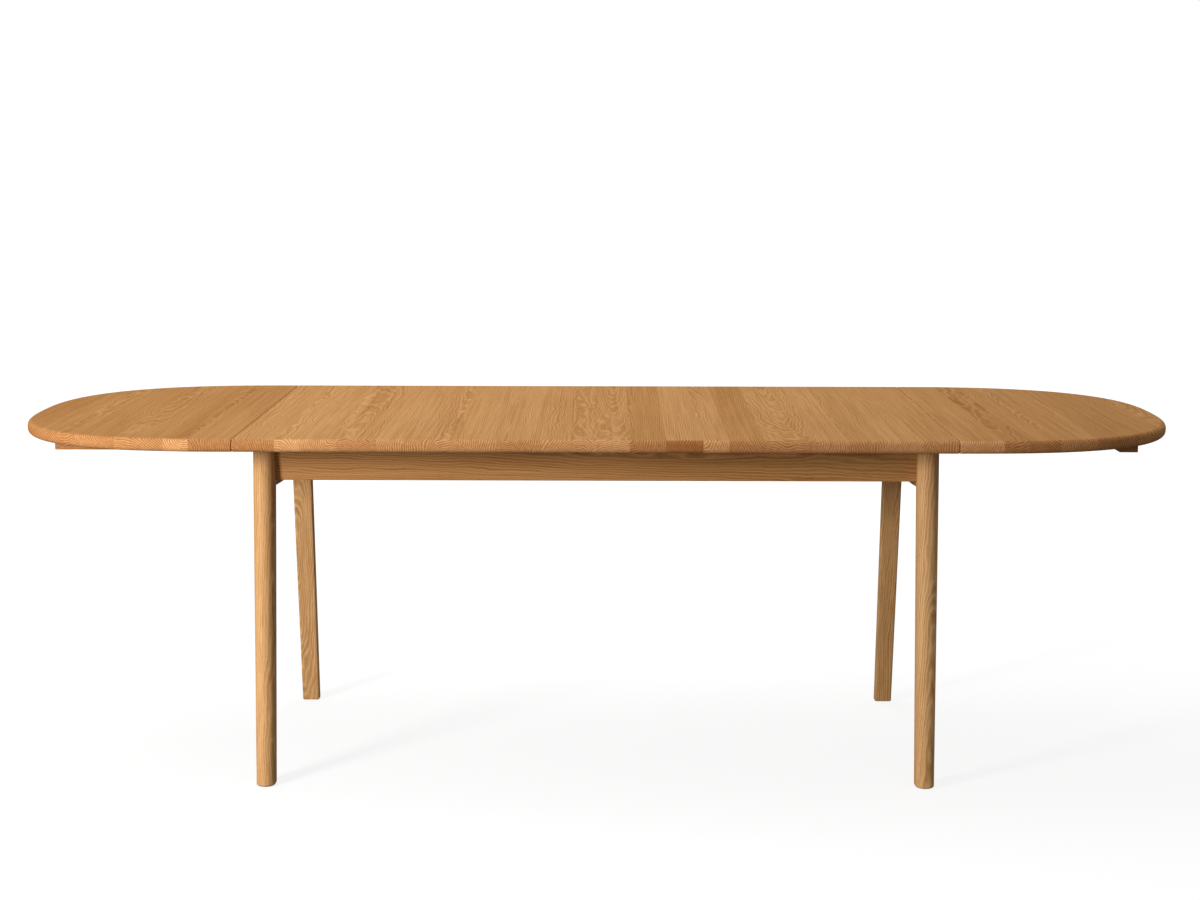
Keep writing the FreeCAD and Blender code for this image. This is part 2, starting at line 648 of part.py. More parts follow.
def lane(name, start, length, middle):
    room = doc.addObject("Part::Box", name)
    bind(room, Length=length, Width="runner_width + 2 * slide_gap",
         Height="support_height + slide_gap + %s" % OVERCUT)
    put(room, start, middle + " - runner_width / 2 - slide_gap", "support_z - slide_gap")
    return room


right_front_lane = lane("right_front_lane", "-runner_past", "runner_past + batten_outer_x", "-inner_lane_y")
right_back_lane = lane("right_back_lane", "-runner_past", "runner_past + batten_outer_x", "outer_lane_y")
left_front_lane = lane("left_front_lane", "-batten_outer_x", "runner_past + batten_outer_x", "-outer_lane_y")
left_back_lane = lane("left_back_lane", "-batten_outer_x", "runner_past + batten_outer_x", "inner_lane_y")

# --- end rails ---------------------------------------------------------------------------------

def rail_blank():
    """The right end rail: shoulders that lean with the legs, and a lower edge that bellies down."""
    body = new_body("rail_blank")
    sketch = new_sketch(body, "rail_face", "YZ_Plane")
    sketch.addGeometry([
        Part.LineSegment(Vector(20, 60, 0), Vector(-20, 60, 0)),
        Part.LineSegment(Vector(-20, 60, 0), Vector(-22, 50, 0)),
        Part.Arc(Vector(-22, 50, 0), Vector(0, 48, 0), Vector(22, 50, 0)),
        Part.LineSegment(Vector(22, 50, 0), Vector(20, 60, 0))])
    for first, end, second, start in ((0, 2, 1, 1), (1, 2, 2, 1), (2, 2, 3, 1), (3, 2, 0, 1)):
        sketch.addConstraint(Sketcher.Constraint("Coincident", first, end, second, start))
    sketch.addConstraint(Sketcher.Constraint("Symmetric", 0, 1, 0, 2, -2))
    sketch.addConstraint(Sketcher.Constraint("Symmetric", 2, 1, 2, 2, -2))
    measure(sketch, "DistanceX", "top_edge", (0, 2, 0, 1), "2 * flat_top_y")
    measure(sketch, "DistanceX", "low_edge", (2, 1, 2, 2), "2 * rail_end_y")
    measure(sketch, "DistanceY", "top_height", (-1, 1, 0, 1), "under_top")
    measure(sketch, "DistanceY", "end_height", (-1, 1, 2, 2), "rail_end_z")
    measure(sketch, "Radius", "belly", (2,), "(rail_end_y ^ 2 + rail_belly ^ 2) / (2 * rail_belly)")
    pad(body, sketch, "rail_thickness")
    put(body, "rail_inner_x")
    return body


right_end_rail = cut("right_end_rail", rail_blank(),
                     [right_front_lane, right_back_lane, frame_dowel_bores, block_screw_bores,
                      leg_bolt_bores, plate_recesses, plate_screw_bores])
left_end_rail = finish(doc.addObject("Part::Feature", "left_end_rail"), "left_end_rail")
doc.recompute()
left_end_rail.Shape = right_end_rail.Shape
left_end_rail.Placement = FreeCAD.Placement(Vector(0, 0, 0), FreeCAD.Rotation(UP, 180))

# --- middle bearer and corner blocks -----------------------------------------------------------

bearer_blank = board("bearer_blank", "bearer_thickness", "2 * apron_inner_y", "bearer_height",
                     "-bearer_thickness / 2", "-apron_inner_y", "bearer_z", "y")
cut("middle_bearer", bearer_blank,
    [right_front_lane, right_back_lane, left_front_lane, left_back_lane,
     bearer_dowel_bores, bearer_screw_bores])


def corner_block_blank():
    """A bar set across the front right corner, with ends that lie on apron and rail."""
    body = new_body("corner_block_blank")
    sketch = new_sketch(body, "corner_block_plan")
    outline(sketch, [(-20, 0), (-10, 0), (0, 10), (0, 20)])
    for point, axis in (((0, 1), -1), ((0, 2), -1), ((2, 1), -2), ((2, 2), -2)):
        sketch.addConstraint(Sketcher.Constraint("PointOnObject", *point, axis))
    measure(sketch, "DistanceX", "apron_far", (0, 1, -1, 1), "block_reach")
    measure(sketch, "DistanceX", "apron_near", (0, 2, -1, 1), "block_waist")
    measure(sketch, "DistanceY", "rail_near", (-1, 1, 2, 1), "block_waist")
    measure(sketch, "DistanceY", "rail_far", (-1, 1, 2, 2), "block_reach")
    pad(body, sketch, "block_height")
    put(body, "rail_inner_x", "-apron_inner_y", "block_z - block_height / 2")
    return body


front_right_block = cut("front_right_corner_block", corner_block_blank(), [leg_bolt_bores, block_screw_bores])
front_left_block = mirrored("front_left_corner_block", front_right_block, LEFT_RIGHT)
mirrored("back_right_corner_block", front_right_block, FRONT_BACK)
mirrored("back_left_corner_block", front_left_block, FRONT_BACK)

# --- leaves: each is made for the right end, and turned half round for the left ----------------

def leaf_unit(side, turn):
    """A leaf with its runners, cross batten, pins, dowels and screws."""
    heading = FreeCAD.Placement(Vector(0, 0, 0), FreeCAD.Rotation(UP, turn))
    near, far = ("front", "back") if turn == 0 else ("back", "front")
    lanes = ((near, "-inner_lane_y", -at.inner_lane_y), (far, "outer_lane_y", at.outer_lane_y))
    middle_z = at.under_top - at.support_height / 2
    batten_x = at.batten_outer_x - at.batten_width / 2

    dowel_spots = []
    head_z = at.support_z + at.screw_sink
    screw_spots = [(Vector(batten_x, share * at.support_span, head_z), UP)
                   for share in BATTEN_SCREW_SHARES]
    for name, rule, y in lanes:
        for offset in (-at.runner_width / 4, at.runner_width / 4):
            start = Vector(at.batten_inner_x + at.pin_hold, y + offset, middle_z)
            dowel_spots.append((start, Vector(-1, 0, 0)))
        for share in RUNNER_SCREW_SHARES:
            screw_spots.append((Vector(at.half_main + share * at.leaf_reach, y, head_z), UP))
    dowel_length = 2 * at.pin_hold
    dowel_bores = spread(side + "_batten_dowel_bores",
                         dowel(dowel_length, at.pin_size, at.pin_gap), dowel_spots)
    screw_bores = spread(side + "_leaf_screw_bores",
                         screw(at.leaf_screw_length, at.large_screw, at.pin_gap, at.screw_sink + OVERCUT),
                         screw_spots)

    pieces = [
        cut(side + "_leaf", leaf_blank(side), [leaf_pin_bores, screw_bores]),
        finish(spread(side + "_leaf_pins", leaf_pin, leaf_pin_spots), side + "_leaf_pins"),
        finish(spread(side + "_batten_dowels", dowel(dowel_length, at.pin_size), dowel_spots),
               side + "_batten_dowels"),
        finish(spread(side + "_leaf_screws", screw(at.leaf_screw_length, at.large_screw), screw_spots),
               side + "_leaf_screws")]
    batten = board(side + "_batten_blank", "batten_width", "support_span", "support_height",
                   "batten_inner_x", "-support_span / 2", "support_z", "y")
    pieces.append(cut(side + "_cross_batten", batten, [dowel_bores, screw_bores]))
    for name, rule, y in lanes:
        runner = board("%s_%s_runner_blank" % (side, name), "batten_inner_x + runner_past",
                       "runner_width", "runner_height", "-runner_past",
                       rule + " - runner_width / 2", "support_z", "x")
        pieces.append(cut("%s_%s_runner" % (side, name), runner, [dowel_bores, screw_bores]))
    for piece in pieces:
        piece.Placement = heading


leaf_unit("right", 0)
leaf_unit("left", 180)

# --- check and write ---------------------------------------------------------------------------

doc.recompute()
for thing in doc.Objects:
    if "Invalid" in thing.State or "Error" in thing.State:
        raise RuntimeError("%s did not rebuild: %s" % (thing.Label, thing.State))
os.makedirs("parts", exist_ok=True)
for thing in finished:
    shape = thing.Shape
    if shape.isNull() or not shape.isValid() or not shape.Solids:
        raise RuntimeError("%s has no sound solid" % thing.Label)
    shape.exportStep("parts/%s.step" % thing.Label)
print("%d pieces, %d solids" % (len(finished), sum(len(thing.Shape.Solids) for thing in finished)))
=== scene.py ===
"""Looks of an extendable dining table in oiled solid oak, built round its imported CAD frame."""
import math
import random

import bmesh
import bpy
from mathutils import Matrix, Vector


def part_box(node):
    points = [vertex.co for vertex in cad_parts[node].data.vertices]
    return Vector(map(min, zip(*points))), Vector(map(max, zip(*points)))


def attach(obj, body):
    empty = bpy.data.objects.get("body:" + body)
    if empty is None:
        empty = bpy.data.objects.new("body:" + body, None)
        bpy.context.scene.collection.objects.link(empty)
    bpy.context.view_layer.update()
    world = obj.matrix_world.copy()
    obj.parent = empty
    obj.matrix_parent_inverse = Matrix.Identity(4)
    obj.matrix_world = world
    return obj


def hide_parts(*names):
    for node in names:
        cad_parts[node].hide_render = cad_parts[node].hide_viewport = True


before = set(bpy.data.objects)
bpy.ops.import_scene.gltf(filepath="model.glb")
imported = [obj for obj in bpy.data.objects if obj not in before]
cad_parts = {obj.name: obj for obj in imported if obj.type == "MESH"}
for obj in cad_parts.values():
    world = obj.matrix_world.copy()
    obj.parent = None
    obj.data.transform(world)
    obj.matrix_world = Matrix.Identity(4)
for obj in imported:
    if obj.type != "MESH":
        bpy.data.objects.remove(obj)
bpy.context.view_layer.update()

bl_info = {
    "name": "Oak extension table",
    "version": (1, 0, 0),
    "blender": (4, 5, 0),
    "location": "3D View > Sidebar > Table",
    "description": "Finishes for an oak dining table with slide-out end leaves",
    "category": "Object",
}

MM = 0.001
AXES = {"X": 0, "Y": 1, "Z": 2}

# One step of tone, as a share of red, green and blue: a darker board is a redder one too.
TONE_STEP = (0.13, 0.18, 0.27)
# What cut ends add to red, green and blue: they are pinker than faces.
END_TINT = (0.05, 0.03, 0.20)
# A stepped ramp holds values from 0 to 1, so each kind of value is held as a share of its span.
PITH_SPAN = 0.25
LEAN_SPAN = 0.2
SHIFT_SPAN = 17.0
TONE_SPAN = 8.0

# A wood screw's proportions, as shares of its head's radius.
SHANK_SHARE = 0.5
RECESS_SHARE = 0.45
SHANK_START_SHARE = 0.3
POINT_SHARE = 1.5

# Lights: name and power setting, where it is, what it points at and its size, all in metres.
LIGHTS = (("key", (-2.2, -2.3, 1.13), (-0.1, 0.0, 0.6), 0.55),
          ("overhead", (-0.5, 0.6, 3.0), (-0.1, 0.0, 0.7), 2.6))
FLOOR_SIZE = 60
# The floor's glow grows from its setting to full between these distances from the table's middle.
GLOW_START, GLOW_END = 1.3, 4.0
# The camera stands slightly right of the middle and looks down a little. Its pan and roll are slight.
CAMERA_SIDE = 0.0233
CAMERA_PAN, CAMERA_DIP, CAMERA_ROLL = 0.00365, math.radians(8.433), 0.00214

# The staves glued up across each top, from its left end: width in millimetres, then how much lighter
# than its neighbours its face is, and how much lighter its end grain is. They run from front to back.
MAIN_STAVES = ((77, 0.2, -1.1), (50, 0.5, 1.6), (73, 0.4, 0.7), (72, -0.1, -0.7), (54, 0.3, 0.1),
               (88, 0.2, -0.1), (91, 0.1, 0.1), (86, 0.2, -0.5), (98, 0.0, 0.3), (70, -0.2, 0.7),
               (69, -0.8, -1.1), (72, 0.2, -2.4), (50, 0.1, 0.9), (71, -0.7, -1.1), (95, 0.0, -0.7),
               (59, 0.2, -0.4), (70, -0.2, -0.5), (75, 0.1, 0.1), (71, 0.0, -0.1))
LEFT_STAVES = ((78, -0.3, -1.4), (86, 0.1, -1.2), (87, -0.1, -0.9), (97, 0.1, -0.6), (49, -0.1, 1.3),
               (84, 0.2, -1.4))
RIGHT_STAVES = ((83, 0.3, 1.2), (50, -0.3, -1.1), (63, 0.1, -1.4), (77, 0.4, -0.5), (94, -0.1, -1.1),
                (62, 0.0, -0.5), (52, 0.3, 0.1))


def linear(hex_colour):
    """An sRGB colour such as 'C79A66' as linear red, green, blue and full alpha."""
    channels = [int(hex_colour[i:i + 2], 16) / 255 for i in (0, 2, 4)]
    return tuple(c / 12.92 if c < 0.04045 else ((c + 0.055) / 1.055) ** 2.4 for c in channels) + (1.0,)


def add(tree, kind, settings, inputs, give=0):
    """Adds a node, sets it up, fills or links its inputs, and gives one of its outputs."""
    node = tree.nodes.new(kind)
    for name, value in settings.items():
        setattr(node, name, value)
    for key, value in inputs.items():
        if isinstance(value, bpy.types.NodeSocket):
            tree.links.new(value, node.inputs[key])
        else:
            node.inputs[key].default_value = value
    return node if give is None else node.outputs[give]


# --- settings -----------------------------------------------------------------------------------

def colour_setting(name, description, hex_colour):
    return bpy.props.FloatVectorProperty(name=name, description=description, subtype="COLOR", size=4,
                                         min=0, max=1, default=linear(hex_colour))


def size_setting(name, description, default):
    return bpy.props.FloatProperty(name=name, description=description, subtype="DISTANCE",
                                   unit="LENGTH", default=default, precision=4)


class OakSettings(bpy.types.PropertyGroup):
    light: colour_setting("Late wood", "Dense outer part of each year ring", "D6A268")
    dark: colour_setting("Early wood", "Porous inner part of each year ring", "AA733B")
    pore: colour_setting("Pores", "Oil-filled open pores", "784820")
    ring: size_setting("Ring width", "One year's growth", 4.2 * MM)


class FixingSettings(bpy.types.PropertyGroup):
    pitch: size_setting("Thread pitch", "Height of one turn of a wood screw's thread", 2.4 * MM)
    thread: bpy.props.FloatProperty(name="Thread depth", description="As a share of the shank's radius",
                                    subtype="FACTOR", min=0, max=0.5, default=0.26)
    zinc: colour_setting("Zinc plate", "Bright zinc on bolts, nuts and washers", "C3C7CB")
    steel: colour_setting("Plated steel", "Screws and top plates", "B4B1A8")
    beech: colour_setting("Beech", "Turned dowels and pins", "D9B58B")
    nylon: colour_setting("Nylon", "Moulded foot glides", "3A322C")


class StageSettings(bpy.types.PropertyGroup):
    lens: bpy.props.FloatProperty(name="Lens", description="Focal length in millimetres", default=63.12)
    distance: size_setting("Distance", "Camera to the table's middle, along the floor", 4.424)
    eye: size_setting("Eye height", "Camera above the floor", 1.291)
    key: bpy.props.FloatProperty(name="Key light", description="Power of the soft light at the left",
                                 unit="POWER", default=74)
    overhead: bpy.props.FloatProperty(name="Overhead light", description="Power of the wide light above",
                                      unit="POWER", default=44)
    ambient: bpy.props.FloatProperty(name="Ambient", description="Strength of the surround's light",
                                     default=0.36)
    glow: bpy.props.FloatProperty(name="Paper glow", description="How far the floor is lit up to white",
                                  default=0.85)


# --- oak ----------------------------------------------------------------------------------------

def oak_figure():
    """European oak, sawn, sanded and oiled. Year rings about a pith line show as long arches on the
    flats and as arcs on the ends. Early wood is open and darker, its pores take more oil."""
    if "oak figure" in bpy.data.node_groups:
        return bpy.data.node_groups["oak figure"]
    oak = bpy.context.scene.oak
    tree = bpy.data.node_groups.new("oak figure", "ShaderNodeTree")
    for name, kind in (("Grain", "NodeSocketVector"), ("Pith", "NodeSocketVector"),
                       ("Shift", "NodeSocketVector"), ("Tone", "NodeSocketFloat"),
                       ("End", "NodeSocketFloat"), ("Contrast", "NodeSocketFloat")):
        tree.interface.new_socket(name, in_out="INPUT", socket_type=kind)
    for name, kind in (("Color", "NodeSocketColor"), ("Roughness", "NodeSocketFloat"),
                       ("Height", "NodeSocketFloat")):
        tree.interface.new_socket(name, in_out="OUTPUT", socket_type=kind)
    given = add(tree, "NodeGroupInput", {}, {}, None)
    grain, pith = given.outputs["Grain"], given.outputs["Pith"]
    place = add(tree, "ShaderNodeVectorMath", {"operation": "ADD"}, {0: grain, 1: given.outputs["Shift"]})

    def noise(across, along, detail, roughness=0.5):
        """Noise whose features are the given sizes in metres across and along the grain."""
        scaled = add(tree, "ShaderNodeVectorMath", {"operation": "MULTIPLY"},
                     {0: place, 1: (1 / across, 1 / across, 1 / along)})
        return add(tree, "ShaderNodeTexNoise", {"noise_dimensions": "3D"},
                   {"Vector": scaled, "Scale": 1.0, "Detail": detail, "Roughness": roughness}, None)

    # Rings: distance from a pith line that tilts and wanders.
    spot = grain
    for across, along, reach in ((60 * MM, 420 * MM, 26 * MM), (34 * MM, 80 * MM, 10 * MM)):
        wander = add(tree, "ShaderNodeVectorMath", {"operation": "SUBTRACT"},
                     {0: noise(across, along, 2).outputs["Color"], 1: (0.5, 0.5, 0.5)})
        wander = add(tree, "ShaderNodeVectorMath", {"operation": "SCALE"}, {0: wander, "Scale": reach})
        spot = add(tree, "ShaderNodeVectorMath", {"operation": "ADD"}, {0: spot, 1: wander})
    spot = add(tree, "ShaderNodeSeparateXYZ", {}, {0: spot}, None)
    centre = add(tree, "ShaderNodeSeparateXYZ", {}, {0: pith}, None)
    along = add(tree, "ShaderNodeSeparateXYZ", {}, {0: grain}, "Z")
    lean = add(tree, "ShaderNodeMath", {"operation": "MULTIPLY"}, {0: along, 1: centre.outputs["Z"]})
    side = add(tree, "ShaderNodeMath", {"operation": "SUBTRACT"},
               {0: spot.outputs["X"], 1: centre.outputs["X"]})
    deep = add(tree, "ShaderNodeMath", {"operation": "SUBTRACT"},
               {0: spot.outputs["Y"], 1: centre.outputs["Y"]})
    deep = add(tree, "ShaderNodeMath", {"operation": "ADD"}, {0: deep, 1: lean})
    radial = add(tree, "ShaderNodeCombineXYZ", {}, {"X": side, "Y": deep})
    radius = add(tree, "ShaderNodeVectorMath", {"operation": "LENGTH"}, {0: radial}, "Value")
    years = add(tree, "ShaderNodeMath", {"operation": "DIVIDE"}, {0: radius, 1: oak.ring})
    year = add(tree, "ShaderNodeMath", {"operation": "FLOOR"}, {0: years})
    season = add(tree, "ShaderNodeMath", {"operation": "FRACT"}, {0: years})
    vigour = add(tree, "ShaderNodeTexWhiteNoise", {"noise_dimensions": "1D"}, {"W": year}, "Value")
    strength = add(tree, "ShaderNodeMapRange", {}, {"Value": vigour, "To Min": 0.3, "To Max": 1.0})
    strength = add(tree, "ShaderNodeMath", {"operation": "MULTIPLY_ADD"},
                   {0: given.outputs["End"], 1: 0.8, 2: strength})
    strength = add(tree, "ShaderNodeMath", {"operation": "MULTIPLY"},
                   {0: strength, 1: given.outputs["Contrast"]})
    swing = add(tree, "ShaderNodeMath", {"operation": "PINGPONG"}, {0: season, 1: 0.5})
    early = add(tree, "ShaderNodeMapRange", {"interpolation_type": "SMOOTHSTEP"},
                {"Value": swing, "From Min": 0.08, "From Max": 0.5})
    early = add(tree, "ShaderNodeMath", {"operation": "MULTIPLY"}, {0: early, 1: strength})
    pale = add(tree, "ShaderNodeMapRange", {"interpolation_type": "SMOOTHSTEP"},
               {"Value": swing, "From Min": 0.0, "From Max": 0.13, "To Min": 1.0, "To Max": 0.0})
    pale = add(tree, "ShaderNodeMath", {"operation": "MULTIPLY"}, {0: pale, 1: strength})

    # Fibres, streaks and pores, long along the grain.
    streak = noise(7 * MM, 380 * MM, 4, 0.6).outputs["Fac"]
    fibre = noise(1.3 * MM, 70 * MM, 3, 0.6).outputs["Fac"]
    pores = noise(0.75 * MM, 12 * MM, 2, 0.6).outputs["Fac"]
    cloud = noise(120 * MM, 500 * MM, 2).outputs["Fac"]
    flecks = noise(1.9 * MM, 17 * MM, 2, 0.6).outputs["Fac"]
    pores = add(tree, "ShaderNodeMapRange", {"interpolation_type": "SMOOTHSTEP"},
                {"Value": pores, "From Min": 0.56, "From Max": 0.70})
    flecks = add(tree, "ShaderNodeMapRange", {"interpolation_type": "SMOOTHSTEP"},
                 {"Value": flecks, "From Min": 0.60, "From Max": 0.74})
    pores = add(tree, "ShaderNodeMath", {"operation": "MAXIMUM"}, {0: pores, 1: flecks})
    opened = add(tree, "ShaderNodeMapRange", {}, {"Value": early, "To Min": 0.25, "To Max": 1.0})
    pores = add(tree, "ShaderNodeMath", {"operation": "MULTIPLY"}, {0: pores, 1: opened})

    shade = add(tree, "ShaderNodeMath", {"operation": "MULTIPLY_ADD"}, {0: early, 1: 0.26, 2: 0.34})
    shade = add(tree, "ShaderNodeMath", {"operation": "MULTIPLY_ADD"}, {0: pale, 1: -0.46, 2: shade})
    for layer, amount in ((streak, 1.25), (fibre, 0.60), (cloud, 0.50)):
        centred = add(tree, "ShaderNodeMath", {"operation": "SUBTRACT"}, {0: layer, 1: 0.5})
        shade = add(tree, "ShaderNodeMath", {"operation": "MULTIPLY_ADD"},
                    {0: centred, 1: amount, 2: shade})
    shade = add(tree, "ShaderNodeMath", {"operation": "MULTIPLY_ADD", "use_clamp": True},
                {0: given.outputs["End"], 1: 0.18, 2: shade})
    colour = add(tree, "ShaderNodeMix", {"data_type": "RGBA"},
                 {"Factor": shade, 6: tuple(oak.light), 7: tuple(oak.dark)}, 2)
    cover = add(tree, "ShaderNodeMath", {"operation": "MULTIPLY"}, {0: pores, 1: 0.55})
    colour = add(tree, "ShaderNodeMix", {"data_type": "RGBA"},
                 {"Factor": cover, 6: colour, 7: tuple(oak.pore)}, 2)
    value = add(tree, "ShaderNodeVectorMath", {"operation": "SCALE"},
                {0: TONE_STEP, "Scale": given.outputs["Tone"]})
    value = add(tree, "ShaderNodeVectorMath", {"operation": "ADD"}, {0: value, 1: (1.0, 1.0, 1.0)})
    pink = add(tree, "ShaderNodeVectorMath", {"operation": "SCALE"},
               {0: END_TINT, "Scale": given.outputs["End"]})
    value = add(tree, "ShaderNodeVectorMath", {"operation": "ADD"}, {0: value, 1: pink})
    colour = add(tree, "ShaderNodeVectorMath", {"operation": "MULTIPLY"}, {0: colour, 1: value})

    gloss = add(tree, "ShaderNodeMath", {"operation": "MULTIPLY_ADD"}, {0: pores, 1: 0.18, 2: 0.52})
    gloss = add(tree, "ShaderNodeMath", {"operation": "MULTIPLY_ADD"}, {0: early, 1: 0.08, 2: gloss})
    height = add(tree, "ShaderNodeMath", {"operation": "MULTIPLY_ADD"}, {0: fibre, 1: 0.3, 2: 0.7})
    height = add(tree, "ShaderNodeMath", {"operation": "SUBTRACT"}, {0: height, 1: pores})
    add(tree, "NodeGroupOutput", {}, {"Color": colour, "Roughness": gloss, "Height": height}, None)
    return tree


def oak(name, box, along, seed, tone, staves=None, gloss=0.3, contrast=1.3):
    """Oiled oak for one board: where its heart lay, and which way its grain runs, is its own. A top's
    staves each have their own too."""
    material = bpy.data.materials.new(name)
    material.use_nodes = True
    tree = material.node_tree
    tree.nodes.clear()
    rng = random.Random(seed)
    low, high = Vector(box[0]), Vector(box[1])
    middle = (low + high) / 2
    across, deep = {"X": ("Y", "Z"), "Y": ("X", "Z"), "Z": ("X", "Y")}[along]
    coords = add(tree, "ShaderNodeTexCoord", {}, {}, None)
    centred = add(tree, "ShaderNodeVectorMath", {"operation": "SUBTRACT"},
                  {0: coords.outputs["Object"], 1: tuple(middle)})
    parts = add(tree, "ShaderNodeSeparateXYZ", {}, {0: centred}, None)
    grain = add(tree, "ShaderNodeCombineXYZ", {},
                {"X": parts.outputs[across], "Y": parts.outputs[deep], "Z": parts.outputs[along]})
    facing = add(tree, "ShaderNodeSeparateXYZ", {}, {0: coords.outputs["Normal"]}, along)
    end = add(tree, "ShaderNodeMath", {"operation": "ABSOLUTE"}, {0: facing})
    end = add(tree, "ShaderNodeMapRange", {"interpolation_type": "SMOOTHSTEP"},
              {"Value": end, "From Min": 0.1, "From Max": 0.5})

    def heart():
        """Across and deep from the board's middle to the pith, and how it leans along the board."""
        turn = rng.uniform(0, 2 * math.pi)
        away = rng.uniform(25, 95) * MM
        return math.cos(turn) * away, math.sin(turn) * away, rng.uniform(-0.05, 0.05)

    if staves:
        staves = [(width, face_tone + tone, end_tone) for width, face_tone, end_tone in staves]
        shift, pith, shade = stave_values(tree, parts.outputs[across], (high - low)[AXES[across]],
                                          end, staves, rng, heart)
    else:
        pith = heart()
        shift = tuple(rng.uniform(-9, 9) for _ in range(3))
        shade = tone
    figure = add(tree, "ShaderNodeGroup", {"node_tree": oak_figure()},
                 {"Grain": grain, "Pith": pith, "Shift": shift, "Tone": shade, "End": end,
                  "Contrast": contrast}, None)
    bump = add(tree, "ShaderNodeBump", {}, {"Height": figure.outputs["Height"], "Strength": 0.25,
                                            "Distance": 0.3 * MM})
    shader = add(tree, "ShaderNodeBsdfPrincipled", {},
                 {"Base Color": figure.outputs["Color"], "Roughness": figure.outputs["Roughness"],
                  "Normal": bump, "IOR": 1.45, "Specular IOR Level": gloss})
    add(tree, "ShaderNodeOutputMaterial", {}, {"Surface": shader}, None)
    return material


def stave_values(tree, across, length, end, staves, rng, heart):
    """Shift, pith and tone that change from stave to stave, read from two stepped ramps."""
    total = sum(width for width, face_tone, end_tone in staves)
    share = add(tree, "ShaderNodeMath", {"operation": "MULTIPLY_ADD"}, {0: across, 1: 1 / length, 2: 0.5})
    ramps = []
    for _ in range(2):
        ramp = add(tree, "ShaderNodeValToRGB", {}, {0: share}, None)
        ramp.color_ramp.interpolation = "CONSTANT"
        while len(ramp.color_ramp.elements) < len(staves):
            ramp.color_ramp.elements.new(1.0)
        ramps.append(ramp)
    start = 0.0
    for index, (width, face_tone, end_tone) in enumerate(staves):
        side, deep, lean = heart()
        middle = (start + width / 2) / total
        elements = [ramp.color_ramp.elements[index] for ramp in ramps]
        for element in elements:
            element.position = start / total
        elements[0].color = (middle + side / length, 0.5 + deep / PITH_SPAN, 0.5 + lean / LEAN_SPAN,
                             0.5 + end_tone / TONE_SPAN)
        elements[1].color = (rng.random(), rng.random(), rng.random(), 0.5 + face_tone / TONE_SPAN)
        start += width
    first = add(tree, "ShaderNodeVectorMath", {"operation": "MULTIPLY_ADD"},
                {0: ramps[0].outputs["Color"], 1: (length, PITH_SPAN, LEAN_SPAN),
                 2: (-length / 2, -PITH_SPAN / 2, -LEAN_SPAN / 2)})
    shift = add(tree, "ShaderNodeVectorMath", {"operation": "SCALE"},
                {0: ramps[1].outputs["Color"], "Scale": SHIFT_SPAN})
    tone = add(tree, "ShaderNodeMix", {"data_type": "FLOAT"},
               {"Factor": end, 2: ramps[1].outputs["Alpha"], 3: ramps[0].outputs["Alpha"]})
    tone = add(tree, "ShaderNodeMath", {"operation": "MULTIPLY_ADD"},
               {0: tone, 1: TONE_SPAN, 2: -TONE_SPAN / 2})
    return shift, first, tone


# --- small materials ----------------------------------------------------------------------------

def surface(name, make, inputs):
    """A material whose node tree is drawn by make(tree, coordinates), which gives the shader's inputs."""
    material = bpy.data.materials.new(name)
    material.use_nodes = True
    tree = material.node_tree
    tree.nodes.clear()
    coords = add(tree, "ShaderNodeTexCoord", {}, {}, "Object")
    shader = add(tree, "ShaderNodeBsdfPrincipled", {}, {**inputs, **make(tree, coords)})
    add(tree, "ShaderNodeOutputMaterial", {}, {"Surface": shader}, None)
    return material


def plated_steel(name, colour, roughness):
    """Turned or pressed steel, barrel plated with zinc. Fine tumbling marks spread the highlight, and
    the clear passivation gives a faint change of tone from place to place."""
    def make(tree, coords):
        mark = add(tree, "ShaderNodeTexNoise", {},
                   {"Vector": coords, "Scale": 1 / (0.8 * MM), "Detail": 3.0}, "Fac")
        bloom = add(tree, "ShaderNodeTexNoise", {},
                    {"Vector": coords, "Scale": 1 / (9 * MM), "Detail": 2.0}, "Fac")
        spread = add(tree, "ShaderNodeMapRange", {}, {"Value": mark, "To Min": roughness - 0.1,
                                                      "To Max": roughness + 0.14})
        value = add(tree, "ShaderNodeMapRange", {}, {"Value": bloom, "To Min": 0.86, "To Max": 1.08})
        tint = add(tree, "ShaderNodeHueSaturation", {}, {"Color": tuple(colour), "Value": value})
        bump = add(tree, "ShaderNodeBump", {}, {"Height": mark, "Strength": 0.2, "Distance": 0.05 * MM})
        return {"Base Color": tint, "Roughness": spread, "Normal": bump}
    return surface(name, make, {"Metallic": 1.0})


def turned_beech(colour):
    """Beech turned to dowels and left bare, with small dark ray flecks every 1.6 mm or so."""
    def make(tree, coords):
        fleck = add(tree, "ShaderNodeTexVoronoi", {},
                    {"Vector": coords, "Scale": 1 / (1.6 * MM)}, "Distance")
        cloud = add(tree, "ShaderNodeTexNoise", {},
                    {"Vector": coords, "Scale": 1 / (6 * MM), "Detail": 4.0}, "Fac")
        fleck = add(tree, "ShaderNodeMapRange", {"interpolation_type": "SMOOTHSTEP"},
                    {"Value": fleck, "From Min": 0.1, "From Max": 0.3, "To Min": 0.78, "To Max": 1.0})
        value = add(tree, "ShaderNodeMapRange", {}, {"Value": cloud, "To Min": 0.85, "To Max": 1.1})
        value = add(tree, "ShaderNodeMath", {"operation": "MULTIPLY"}, {0: value, 1: fleck})
        tint = add(tree, "ShaderNodeHueSaturation", {}, {"Color": tuple(colour), "Value": value})
        bump = add(tree, "ShaderNodeBump", {}, {"Height": cloud, "Strength": 0.2, "Distance": 0.1 * MM})
        return {"Base Color": tint, "Normal": bump}
    return surface("bare turned beech", make, {"Roughness": 0.7})


